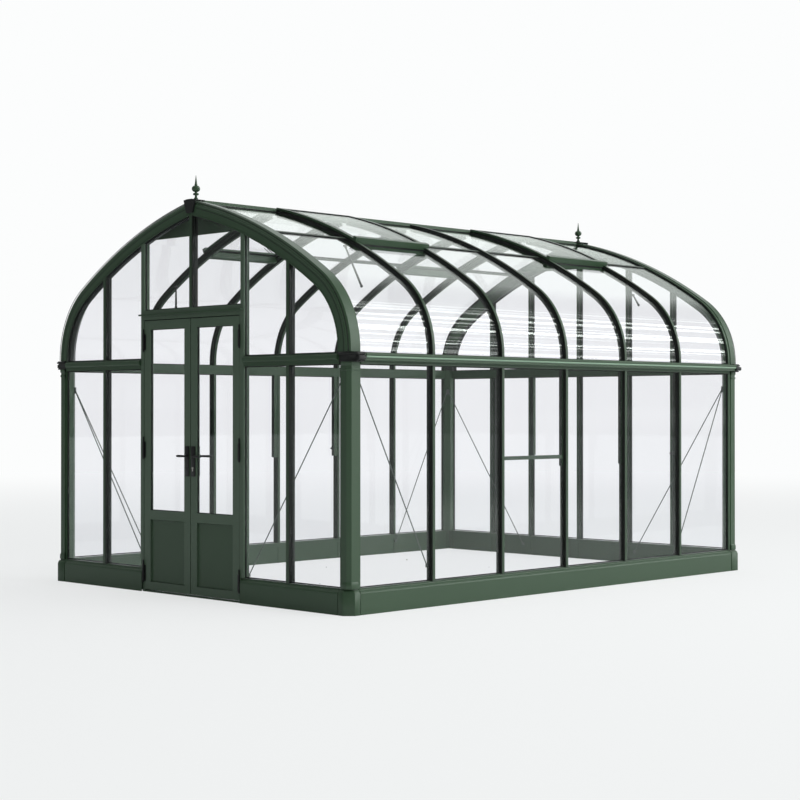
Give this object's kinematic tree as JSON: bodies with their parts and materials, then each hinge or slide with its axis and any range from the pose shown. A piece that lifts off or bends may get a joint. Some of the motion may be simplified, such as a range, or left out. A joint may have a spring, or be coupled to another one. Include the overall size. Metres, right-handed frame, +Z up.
{
  "type": "glass greenhouse",
  "caption": "Free-standing glass greenhouse with a curved-eaves roof, arched gables, a low metal plinth and glazed double doors that swing open.",
  "frame": {"origin": "middle of the footprint, on the ground", "axes": "+Z up; the ridge runs along Y and the double doors face -Y; +X to the right of someone inside who faces the back gable"},
  "size_m": [3.5, 4.6425, 3.0938],
  "materials": {
    "green_aluminium": "satin powder coat",
    "glass": "clear",
    "black_plastic": "satin",
    "black_metal": "satin",
    "brace_steel": "satin"
  },
  "bodies": {
    "frame": {"apex_keystones": "black_plastic", "apex_plates": "green_aluminium", "corner_posts": "green_aluminium", "door_head": "green_aluminium", "door_jambs": "green_aluminium", "door_sill": "green_aluminium", "drip_cap": "green_aluminium", "eaves_beams": "green_aluminium", "eaves_corner_caps": "black_plastic", "finials": "green_aluminium", "gable_arch_back": "green_aluminium", "gable_arch_front": "green_aluminium", "gable_bars_back": "green_aluminium", "gable_bars_front": "green_aluminium", "gable_glass_back": "glass", "gable_glass_front": "glass", "gutters": "green_aluminium", "plinth_back": "green_aluminium", "plinth_cleats": "green_aluminium", "plinth_corners": "green_aluminium", "plinth_front": "green_aluminium", "plinth_sides": "green_aluminium", "ridge_beam": "green_aluminium", "roof_bars": "green_aluminium", "roof_glass_lower": "glass", "roof_glass_upper": "glass", "roof_joint_bars": "green_aluminium", "roof_vent_frames": "green_aluminium", "roof_vent_glass": "glass", "roof_vent_kerbs": "green_aluminium", "side_bars": "green_aluminium", "transom_back": "green_aluminium", "transoms_front": "green_aluminium", "wall_glass": "glass", "wind_braces": "brace_steel", "window_strips": "green_aluminium"},
    "right_door": {"door_right_frame": "green_aluminium", "door_right_glass": "glass", "door_right_hinges": "black_metal", "door_right_lock_plates": "black_metal", "door_right_panel": "green_aluminium"},
    "left_door": {"door_left_frame": "green_aluminium", "door_left_glass": "glass", "door_left_hinges": "black_metal", "door_left_lock_plates": "black_metal", "door_left_panel": "green_aluminium"},
    "right_lever": {"lever_right": "black_metal"},
    "left_lever": {"lever_left": "black_metal"}
  },
  "joints": [
    {"name": "right_door_hinge", "type": "hinge", "parent": "frame", "child": "right_door", "pos_m": [0.5595, -2.297, 1.03], "axis": [0, 0, 1], "range_deg": [0, 100]},
    {"name": "left_door_hinge", "type": "hinge", "parent": "frame", "child": "left_door", "pos_m": [-0.5595, -2.297, 1.03], "axis": [0, 0, -1], "range_deg": [0, 100]},
    {"name": "right_lever_pivot", "type": "hinge", "parent": "right_door", "child": "right_lever", "pos_m": [0.035, -2.297, 1.03], "axis": [0, 1, 0], "range_deg": [0, 40], "stiffness_Nm_per_rad": 2, "springref_deg": -20.05},
    {"name": "left_lever_pivot", "type": "hinge", "parent": "left_door", "child": "left_lever", "pos_m": [-0.035, -2.297, 1.03], "axis": [0, -1, 0], "range_deg": [0, 40], "stiffness_Nm_per_rad": 2, "springref_deg": -20.05}
  ]
}
